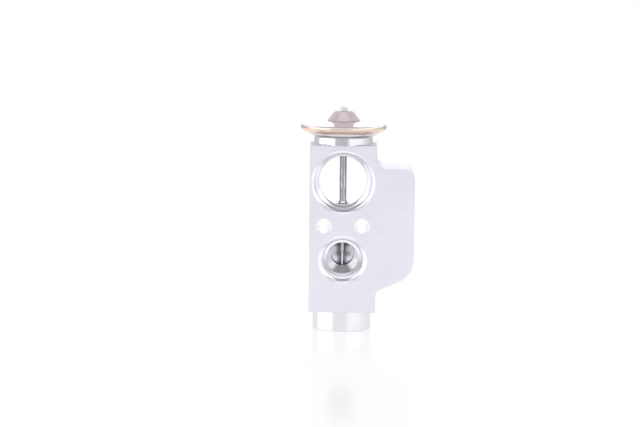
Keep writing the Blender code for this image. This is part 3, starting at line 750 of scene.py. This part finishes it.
def inlet_tool():
    """The inlet in the back: its pipe seat, and the bore to the ball's chamber."""
    steps_in = seat_steps(
        INLET_MOUTH_R, INLET_CHAMFER, INLET_LAND, INLET_SEAT_R, INLET_SEAT_DEPTH
    )
    steps_in += [
        (INLET_BORE_R + LIP, INLET_SEAT_DEPTH),
        (INLET_BORE_R, INLET_SEAT_DEPTH + LIP),
        (INLET_BORE_R, AXIS_Y),
    ]
    return bore_tool("inlet_tool", steps_in, 0.0, INLET_Z, side=-1, mouth=steps_in[1][1])


def bolt_tool(name, x):
    """One bolt hole, chamfered at both ends."""
    slope = math.tan(MOUTH_SLOPE)
    steps_in = [(BOLT_R + BOLT_CHAMFER + PAST, -PAST * slope), (BOLT_R, BOLT_CHAMFER * slope)]
    return bore_tool(name, steps_in, x, 0.0, through=True, mouth=steps_in[1][1])


def axis_tool():
    """The stepped bore from the head's thread, past the rod's seal and the ball, to the screw."""
    outline = [
        (0.0, COLLAR_TOP + PAST),
        (NECK_HOLE_R + NECK_HOLE_CHAMFER + PAST, COLLAR_TOP + PAST),
        (NECK_HOLE_R, COLLAR_TOP - NECK_HOLE_CHAMFER),
        (NECK_HOLE_R, NECK_HOLE_FLOOR),
        (ROD_WINDOW_R, NECK_HOLE_FLOOR),
        (ROD_WINDOW_R, SUCTION_Z),
        (SEAL_POCKET_R, SUCTION_Z),
        (SEAL_POCKET_R, SEAL_FLOOR),
        (GUIDE_R, SEAL_FLOOR),
        (GUIDE_R, GUIDE_STEP_Z),
        (TAIL_HOLE_R, GUIDE_STEP_Z),
        (TAIL_HOLE_R, PASSAGE_Z),
        (ORIFICE_R, PASSAGE_Z),
        (ORIFICE_R, SEAT_Z + SEAT_LIP),
        (ORIFICE_R + SEAT_LIP, SEAT_Z),
        (CHAMBER_R, SEAT_Z),
        (CHAMBER_R, CHAMBER_FLOOR),
        (SCREW_BORE_R, CHAMBER_FLOOR),
        (SCREW_BORE_R, BASE_Z + SCREW_MOUTH),
        (SCREW_BORE_R + SCREW_MOUTH + PAST, BASE_Z - PAST),
        (0.0, BASE_Z - PAST),
    ]
    return turned("axis_tool", outline, steps=MEDIUM, hollow=False, finish=lathed)


def relief_tool():
    """The cone turned round the collar's foot, which runs out through the front face."""
    rise = math.tan(RELIEF_ANGLE)
    floor = BLOCK_TOP - (RELIEF_R - RELIEF_INNER_R) * rise
    outline = [
        (0.0, BLOCK_TOP + PAST),
        (RELIEF_R + PAST / rise, BLOCK_TOP + PAST),
        (RELIEF_INNER_R, floor),
        (0.0, floor),
    ]
    return turned("relief_tool", outline, hollow=False, finish=milled)


def collar_blank():
    """The collar above the narrow groove that its turning tool leaves at its foot."""
    outline = [
        (0.0, COLLAR_TOP),
        (COLLAR_R - TURNED_CHAMFER, COLLAR_TOP),
        (COLLAR_R, COLLAR_TOP - TURNED_CHAMFER),
        (COLLAR_R, COLLAR_FOOT_Z + GROOVE_HEIGHT),
        (GROOVE_R, COLLAR_FOOT_Z + GROOVE_HEIGHT),
        (GROOVE_R, BLOCK_TOP - EMBED),
        (0.0, BLOCK_TOP - EMBED),
    ]
    return turned("collar_blank", outline, hollow=False, finish=lathed)


def collar_foot():
    """The land under the groove, milled flat a hair behind the front face."""
    half = math.sqrt(RELIEF_R ** 2 - AXIS_Y ** 2)
    back = AXIS_Y - math.sqrt(GROOVE_R ** 2 - half ** 2)
    floor = BLOCK_TOP - EMBED
    corners = [(-half, LAND_SET_BACK), (half, LAND_SET_BACK), (half, back), (-half, back)]
    rise = (0.0, 0.0, COLLAR_FOOT_Z - floor)
    land = pushed_out("collar_foot", [(x, y, floor) for x, y in corners], rise)
    bpy.ops.object.mode_set(mode="OBJECT")
    land.data.materials.append(milled)
    return land


def foot_blank():
    """The turned foot that the valve stands on."""
    outline = [
        (0.0, BLOCK_BOTTOM + EMBED),
        (FOOT_R, BLOCK_BOTTOM + EMBED),
        (FOOT_R, BASE_Z + TURNED_CHAMFER),
        (FOOT_R - TURNED_CHAMFER, BASE_Z),
        (0.0, BASE_Z),
    ]
    return turned("foot_blank", outline, hollow=False, finish=lathed)


def machined_block():
    """The block with its wing, collar, foot and bores, all one piece of aluminium."""
    outline = [(x, 0.0, z) for x, z in rounded(block_corners())]
    block = pushed_out("machined_block", outline, (0.0, DEPTH, 0.0))
    bpy.ops.mesh.select_all(action="DESELECT")
    bpy.ops.mesh.edges_select_sharp(sharpness=CREASE)
    bpy.ops.mesh.bevel(offset=EDGE_BREAK * MM, segments=2)
    bpy.ops.object.mode_set(mode="OBJECT")
    block.data.materials.append(extruded)
    block.data.materials.append(milled)
    nearly_square = 0.99
    for face in block.data.polygons:
        face.material_index = 1 if abs(face.normal.y) > nearly_square else 0
    cut(block, relief_tool())
    for blank in (collar_foot(), collar_blank(), foot_blank()):
        cut(block, blank, "UNION")
    for tool in (
        suction_tool(),
        outlet_tool(),
        outlet_bore_tool(),
        passage_tool(),
        inlet_tool(),
        bolt_tool("bolt_tool_left", -BOLT_X),
        bolt_tool("bolt_tool_right", BOLT_X),
        axis_tool(),
    ):
        cut(block, tool)
    finish_piece(block, "valve_block", "valve_body")


def head_dish():
    """The lower half of the head: a wide sloping flange, a dish and the threaded neck."""
    low, high = box_mm("lower_shell")
    rim = high.x - RIM_INSET
    base = COLLAR_TOP + HEAD_GAP
    corner = (DISH_CORNER_R, base + DISH_CORNER)
    chamfer = 0.4
    wall = arc(corner, DISH_CORNER, DISH_WALL_ANGLE, -90)
    outline = [(rim, high.z)]
    outline += bulged((rim, high.z - RIM_SHEET), wall[0], FLANGE_SWING)
    outline += wall[1:]
    outline += [
        (NECK_R, base),
        (NECK_R, low.z + chamfer),
        (NECK_R - chamfer, low.z),
        (NECK_BORE_R, low.z),
        (NECK_BORE_R, base + DISH_SHEET),
    ]
    outline += arc(corner, DISH_CORNER - DISH_SHEET, -90, DISH_WALL_ANGLE)
    outline.append((rim - RIM_INSET, high.z))
    dish = turned("head_dish", outline)
    finish_piece(dish, "valve_block", "lower_shell", warm_stainless)


def head_cover():
    """The upper half of the head: a shallow dome with a flat rim."""
    low, high = box_mm("upper_shell")
    rim = high.x - RIM_INSET
    rim_top = low.z + RIM_SHEET
    dome = [(COVER_HOLE_R, high.z)]
    dome += bulged((CROWN_R, high.z), (DOME_FOOT_R, rim_top), DOME_SWING)
    outline = dome + [(rim, rim_top), (rim, low.z)]
    outline += [(radius, height - DOME_SHEET) for radius, height in reversed(dome)]
    cover = turned("head_cover", outline)
    finish_piece(cover, "valve_block", "upper_shell", burnt_stainless)


def rim_weld():
    """The bead that joins the two halves of the head all round."""
    low, high = box_mm("upper_shell")
    middle = (box_mm("lower_shell")[1].z + low.z) / 2
    centre = (high.x - WELD_R, middle)
    bead = turned("rim_weld", arc(centre, WELD_R, WELD_SPREAD, -WELD_SPREAD, steps=12))
    finish_piece(bead, "valve_block", None, welded)


def head_bell():
    """The copper-plated bell on the cover, drilled for the charge."""
    low, high = box_mm("charge_boss")
    base = box_mm("upper_shell")[1].z + BELL_GAP
    bell_r = high.x
    outline = [(BALL_SEAT_R, high.z)]
    outline += arc(
        (BELL_SHOULDER_R, high.z - BELL_ROUND), BELL_ROUND, 90, BELL_FLARE_START
    )
    outline.append((bell_r, base + BELL_SKIRT))
    outline += arc((bell_r - BELL_LIP, base + BELL_LIP), BELL_LIP, 0, -90, steps=4)
    outline += [
        (BELL_SPIGOT_R, base),
        (BELL_SPIGOT_R, low.z),
        (BELL_HOLE_R, low.z),
        (BELL_HOLE_R, high.z - (BALL_SEAT_R - BELL_HOLE_R)),
    ]
    bell = turned("head_bell", outline)
    finish_piece(bell, "valve_block", "charge_boss", copper)


def closing_ball():
    """The ball that seals the charging hole, with the ring of melt round its middle."""
    low, high = box_mm("sealing_ball")
    radius = (high.z - low.z) / 2
    centre = (0.0, low.z + radius)
    seat_z = box_mm("charge_boss")[1].z
    melt_starts = -12
    melt_ends = -36
    melt = [(1.84, seat_z + 0.12), (2.02, seat_z + 0.03), (1.9, seat_z - 0.1)]
    outline = arc(centre, radius, 90, melt_starts, steps=24) + melt
    outline += arc(centre, radius, melt_ends, -90, steps=12)
    outline[0] = (0.0, high.z)
    outline[-1] = (0.0, low.z)
    ball = turned("closing_ball", outline, SMALL, hollow=False)
    finish_piece(ball, "valve_block", "sealing_ball", ground_steel)


def waved_disc():
    """The diaphragm: thin sheet with ring waves between its flat middle and its rim."""
    low, high = box_mm("diaphragm")
    sheet = 0.2
    dip = high.z - sheet - low.z
    inner = 12.5
    outer = 18.3
    waves = 2
    steps = 16
    under = [(0.0, high.z - sheet)]
    for i in range(waves * steps + 1):
        drop = dip * (1 - math.cos(2 * math.pi * i / steps)) / 2
        under.append((inner + (outer - inner) * i / (waves * steps), high.z - sheet - drop))
    under.append((high.x - RIM_INSET, high.z - sheet))
    top = [(radius, height + sheet) for radius, height in under]
    disc = turned("waved_disc", top + under[::-1], hollow=False)
    finish_piece(disc, "valve_block", "diaphragm", spring_steel)


def stop_plate():
    """The plate and hub that carry the diaphragm's push to the rod."""
    low, high = box_mm("diaphragm_plate")
    thickness = 1.3
    hub_r = 3.2
    roof = 0.5
    edge = 0.2
    outline = [
        (0.0, high.z),
        (high.x - edge, high.z),
        (high.x, high.z - edge),
        (high.x, high.z - thickness + edge),
        (high.x - edge, high.z - thickness),
        (hub_r + edge, high.z - thickness),
        (hub_r, high.z - thickness - edge),
        (hub_r, low.z + edge),
        (hub_r - edge, low.z),
        (GUIDE_R, low.z),
        (GUIDE_R, high.z - roof),
        (0.0, high.z - roof),
    ]
    plate = turned("stop_plate", outline, MEDIUM, hollow=False)
    finish_piece(plate, "actuator", "diaphragm_plate", stainless)


def rubber_ring(name, node, body):
    """An O-ring that fills its node's box, with its faint moulding line."""
    low, high = box_mm(node)
    section = (high.z - low.z) / 2
    centre = (high.x - section, low.z + section)
    outline = arc(centre, section, 90, -270, steps=24)[:-1]
    outermost = 6
    flash = 0.03
    outline[outermost] = (outline[outermost][0] + section * flash, outline[outermost][1])
    ring = turned(name, outline, MEDIUM)
    finish_piece(ring, body, node, rubber)


def flared_bush():
    """The bush that keeps the rod's seal in its pocket, flared round the rod."""
    low, high = box_mm("seal_retainer")
    flange = 0.9
    top_r = GUIDE_R + 0.3
    base_r = 2.45
    curl = 1.6
    steps = 6
    outline = [(top_r, high.z)]
    for i in range(1, steps + 1):
        share = i / steps
        radius = top_r + (base_r - top_r) * share ** curl
        outline.append((radius, high.z - (high.z - low.z - flange) * share))
    outline += [(high.x, low.z + flange), (high.x, low.z), (GUIDE_R, low.z), (GUIDE_R, high.z)]
    bush = turned("flared_bush", outline, SMALL)
    finish_piece(bush, "valve_block", "seal_retainer", drawn_steel)


def feeler_rod():
    """The sensing rod: a drawn bar with a slimmer tail, drilled for the pin."""
    low, high = box_mm("sensing_rod")
    rod_r = high.x
    tail_r = 1.35
    step_z = -0.75
    chamfer = 0.2
    play = 0.1
    socket_r = box_mm("push_pin")[1].x + play
    socket_top = low.z + 2.0
    outline = [
        (0.0, high.z),
        (rod_r - chamfer, high.z),
        (rod_r, high.z - chamfer),
        (rod_r, step_z + chamfer),
        (tail_r, step_z),
        (tail_r, low.z + chamfer),
        (tail_r - chamfer, low.z),
        (socket_r, low.z),
        (socket_r, socket_top),
        (0.0, socket_top),
    ]
    rod = turned("feeler_rod", outline, SMALL, hollow=False)
    finish_piece(rod, "actuator", "sensing_rod", drawn_steel)


def thin_pin():
    """The pin from the rod to the ball, with rounded ends."""
    low, high = box_mm("push_pin")
    radius = high.x
    end = 0.2
    outline = [(0.0, high.z)]
    outline += arc((radius - end, high.z - end), end, 90, 0, steps=4)
    outline += arc((radius - end, low.z + end), end, 0, -90, steps=4)
    outline.append((0.0, low.z))
    pin = turned("thin_pin", outline, SMALL, hollow=False)
    finish_piece(pin, "actuator", "push_pin", ground_steel)


def steel_ball():
    """The ball that closes the orifice."""
    low, high = box_mm("valve_ball")
    radius = (high.z - low.z) / 2
    outline = arc((0.0, low.z + radius), radius, 90, -90, steps=40)
    outline[0] = (0.0, high.z)
    outline[-1] = (0.0, low.z)
    ball = turned("steel_ball", outline, SMALL, hollow=False)
    finish_piece(ball, "actuator", "valve_ball", ground_steel)


def brass_cup():
    """The carrier: a coned cup for the ball, and a flange and spigot for the spring."""
    low, high = box_mm("ball_carrier")
    cup_r = 3.1
    cup_edge = 2.3
    drill_r = 0.7
    cone_z = high.z - cup_edge
    flange = 1.3
    flange_top = high.z - 2.0
    spigot_r = 2.8
    edge = 0.15
    outline = [
        (0.0, cone_z),
        (drill_r, cone_z),
        (drill_r, cone_z + drill_r),
        (cup_edge, high.z),
        (cup_r - edge, high.z),
        (cup_r, high.z - edge),
        (cup_r, flange_top),
        (high.x - edge, flange_top),
        (high.x, flange_top - edge),
        (high.x, flange_top - flange + edge),
        (high.x - edge, flange_top - flange),
        (spigot_r, flange_top - flange),
        (spigot_r, low.z + edge),
        (spigot_r - edge, low.z),
        (0.0, low.z),
    ]
    cup = turned("brass_cup", outline, SMALL, hollow=False)
    finish_piece(cup, "actuator", "ball_carrier", brass)


def half_spring(name, half):
    """One half of the spring, drawn upwards: half 0 stands on the screw, half 1 lifts the cup.
    """
    low, high = box_mm("valve_spring")
    wire_r = 0.6
    coil_r = 3.7
    turns = 5
    end_pitch = 1.35
    steps = 32
    start = low.z + wire_r
    middle_pitch = (high.z - wire_r - start - 2 * end_pitch) / (turns - 2)
    curve = bpy.data.curves.new(name, "CURVE")
    curve.dimensions = "3D"
    curve.bevel_depth = wire_r * MM
    curve.bevel_resolution = 4
    curve.use_fill_caps = True
    wire = curve.splines.new("POLY")
    count = turns * steps // 2
    wire.points.add(count)
    for i, point in enumerate(wire.points):
        turn = (i + half * count) / steps
        closed = min(turn, 1) + max(turn - turns + 1, 0)
        height = start + closed * end_pitch + (turn - closed) * middle_pitch
        angle = 2 * math.pi * turn
        place = Vector(
            (coil_r * math.cos(angle), AXIS_Y + coil_r * math.sin(angle), height)
        )
        point.co = (*(place * MM), 1.0)
    spring = bpy.data.objects.new(name, curve)
    bpy.context.scene.collection.objects.link(spring)
    select_only(spring)
    bpy.ops.object.convert(target="MESH")
    spring = bpy.context.object
    bpy.ops.object.mode_set(mode="EDIT")
    bpy.ops.mesh.select_all(action="SELECT")
    bpy.ops.mesh.remove_doubles(threshold=MERGE)
    bpy.ops.mesh.normals_make_consistent(inside=False)
    bpy.ops.object.mode_set(mode="OBJECT")
    finish_piece(spring, None, "valve_spring", spring_steel)
    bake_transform(spring)


def socket_screw():
    """The adjusting screw: a spigot for the spring, seal groove, thread and hex socket."""
    low, high = box_mm("adjusting_screw")
    screw_r = high.x
    spigot_r = 2.8
    spigot_edge = 0.2
    body_top = high.z - 2.0
    groove_roof = -39.8
    groove_floor = -41.4
    groove_r = screw_r - 1.2
    chamfer = 0.4
    outline = [
        (0.0, high.z),
        (spigot_r - spigot_edge, high.z),
        (spigot_r, high.z - spigot_edge),
        (spigot_r, body_top),
        (screw_r, body_top),
        (screw_r, groove_roof),
        (groove_r, groove_roof),
        (groove_r, groove_floor),
        (screw_r, groove_floor),
    ]
    # One ridge of the thread: how deep each corner lies, and how far down the pitch
    pitch = 1.0
    thread = 0.4
    ridge_shape = [(0.0, 0.0), (thread, 0.4), (thread, 0.5), (0.0, 0.9)]
    ridge = groove_floor - 0.3
    while ridge - pitch > low.z + chamfer:
        outline += [(screw_r - deep, ridge - pitch * share) for deep, share in ridge_shape]
        ridge -= pitch
    outline += [(screw_r, low.z + chamfer), (screw_r - chamfer, low.z), (0.0, low.z)]
    screw = turned("socket_screw", outline, MEDIUM, hollow=False, finish=brass)
    flats = 6.0
    depth = 4.3
    cone = 0.3
    corner_r = flats / math.sqrt(3)
    hexagon = [
        (0.0, low.z + depth + corner_r * cone),
        (corner_r, low.z + depth),
        (corner_r, low.z - PAST),
        (0.0, low.z - PAST),
    ]
    cut(screw, turned("socket_tool", hexagon, steps=6, hollow=False, finish=brass))
    finish_piece(screw, "adjuster", "adjusting_screw")


def light_levels(tree, angle, span, stops):
    """A ramp of panel brightness by an angle in radians, from -span to span degrees."""
    share = add_node(
        tree,
        "MapRange",
        {"From Min": -math.radians(span), "From Max": math.radians(span)},
        {"Value": angle},
    )
    ramp = add_node(tree, "ValToRGB", links={"Fac": share.outputs["Result"]})
    marks = ramp.color_ramp.elements
    while len(marks) < len(stops):
        marks.new(0.5)
    # Moving a mark can put them in another order, so every place is set before any colour
    for mark, (degrees, _) in zip(marks, stops):
        mark.position = degrees / (2 * span) + 0.5
    for mark, (_, level) in zip(marks, stops):
        mark.color = (*(level / TENT_PEAK * part for part in TENT_TINT), 1.0)
    return ramp.outputs["Color"]


def white_studio():
    """A tent of white cloth: bright at the sides, greyer at the front and behind the lamps."""
    world = bpy.data.worlds.new("light_tent")
    bpy.context.scene.world = world
    world.use_nodes = True
    tree = world.node_tree
    tree.nodes.clear()
    place = add_node(tree, "TexCoord")
    split = add_node(tree, "SeparateXYZ", links={"Vector": place.outputs["Generated"]})
    front = add_node(tree, "Math", {1: -1.0}, {0: split.outputs["Y"]}, operation="MULTIPLY")
    turn = add_node(
        tree, "Math", links={0: split.outputs["X"], 1: front.outputs[0]}, operation="ARCTAN2"
    )
    height = add_node(tree, "Math", links={0: split.outputs["Z"]}, operation="ARCSINE")
    around = light_levels(tree, turn.outputs[0], 180, TENT_AROUND)
    above = light_levels(tree, height.outputs[0], 90, TENT_ABOVE)
    behind = add_node(
        tree,
        "MapRange",
        {"From Min": -BACK_FADE, "From Max": BACK_FADE},
        {"Value": split.outputs["Y"]},
    )
    back = [TENT_BACK / TENT_PEAK * part for part in TENT_TINT]
    roof = add_node(
        tree,
        "Mix",
        {MIX_B: (*back, 1.0)},
        {MIX_FACTOR: behind.outputs["Result"], MIX_A: above},
        data_type="RGBA",
    )
    raised = add_node(
        tree,
        "MapRange",
        {"From Min": BAND_TOP, "From Max": BAND_TOP + BAND_FADE},
        {"Value": height.outputs[0]},
    )
    tent = add_node(
        tree,
        "Mix",
        links={
            MIX_FACTOR: raised.outputs["Result"],
            MIX_A: around,
            MIX_B: roof.outputs[MIX_RESULT],
        },
        data_type="RGBA",
    )
    light = add_node(
        tree, "Background", {"Strength": TENT_PEAK}, {"Color": tent.outputs[MIX_RESULT]}
    )
    white = add_node(tree, "Background", {"Color": WHITE, "Strength": 1.0})
    path = add_node(tree, "LightPath")
    shown = add_node(
        tree,
        "MixShader",
        links={0: path.outputs["Is Camera Ray"], 1: light.outputs[0], 2: white.outputs[0]},
    )
    add_node(tree, "OutputWorld", links={"Surface": shown.outputs[0]})


def white_floor():
    """A small white gloss table, with a trace of the foot's reflection and its shadow."""
    deselect_all()
    bpy.ops.mesh.primitive_plane_add(size=TABLE_SIDE * MM, location=(0.0, 0.0, BASE_Z * MM))
    floor = bpy.context.object
    floor.name = "floor"
    made = bpy.data.materials.new("white_table")
    made.use_nodes = True
    tree = made.node_tree
    tree.nodes.clear()
    path = add_node(tree, "LightPath")
    seen = add_node(
        tree,
        "Math",
        links={0: path.outputs["Is Camera Ray"], 1: path.outputs["Is Glossy Ray"]},
        operation="MAXIMUM",
    )
    matt = add_node(tree, "BsdfDiffuse", {"Color": (TABLE_GREY, TABLE_GREY, TABLE_GREY, 1.0)})
    glow = add_node(tree, "Emission", {"Color": WHITE, "Strength": TABLE_GLOW})
    table = add_node(
        tree, "MixShader", {0: TABLE_MATT}, {1: glow.outputs[0], 2: matt.outputs[0]}
    )
    gloss = add_node(tree, "BsdfGlossy", {"Color": WHITE, "Roughness": TABLE_ROUGHNESS})
    mirror = add_node(
        tree,
        "Math",
        {1: TABLE_GLOSS_MIRRORED, 2: TABLE_GLOSS},
        {0: path.outputs["Is Glossy Ray"]},
        operation="MULTIPLY_ADD",
    )
    polished = add_node(
        tree, "MixShader", links={0: mirror.outputs[0], 1: table.outputs[0], 2: gloss.outputs[0]}
    )
    shown = add_node(
        tree, "MixShader", links={0: seen.outputs[0], 1: matt.outputs[0], 2: polished.outputs[0]}
    )
    clear = add_node(tree, "BsdfTransparent")
    side = add_node(tree, "NewGeometry")
    sided = add_node(
        tree,
        "MixShader",
        links={0: side.outputs["Backfacing"], 1: shown.outputs[0], 2: clear.outputs[0]},
    )
    add_node(tree, "OutputMaterial", links={"Surface": sided.outputs[0]})
    floor.data.materials.append(made)


def camera():
    """Far in front and a little above, as the photograph was taken."""
    view = bpy.data.objects.new("camera", bpy.data.cameras.new("camera"))
    bpy.context.scene.collection.objects.link(view)
    view.location = Vector((CAMERA_X, AXIS_Y - CAMERA_DISTANCE, CAMERA_HEIGHT)) * MM
    down = Euler((math.radians(90 - CAMERA_TILT), 0.0, 0.0)).to_quaternion()
    roll = Quaternion((0.0, 0.0, 1.0), math.radians(CAMERA_ROLL))
    view.rotation_mode = "QUATERNION"
    view.rotation_quaternion = down @ roll
    view.data.lens = CAMERA_LENS
    view.data.sensor_width = CAMERA_FILM
    view.data.clip_start = CAMERA_NEAR * MM
    view.data.clip_end = CAMERA_FAR * MM
    bpy.context.scene.camera = view


camera()
white_studio()
white_floor()
machined_block()
head_dish()
head_cover()
rim_weld()
head_bell()
closing_ball()
waved_disc()
stop_plate()
rubber_ring("head_ring", "head_seal", "valve_block")
rubber_ring("rod_ring", "rod_seal", "valve_block")
rubber_ring("screw_ring", "screw_seal", "screw_slide")
flared_bush()
feeler_rod()
thin_pin()
steel_ball()
brass_cup()
half_spring("spring_foot", 0)
half_spring("spring_head", 1)
socket_screw()

bpy.context.scene.view_settings.view_transform = "Standard"
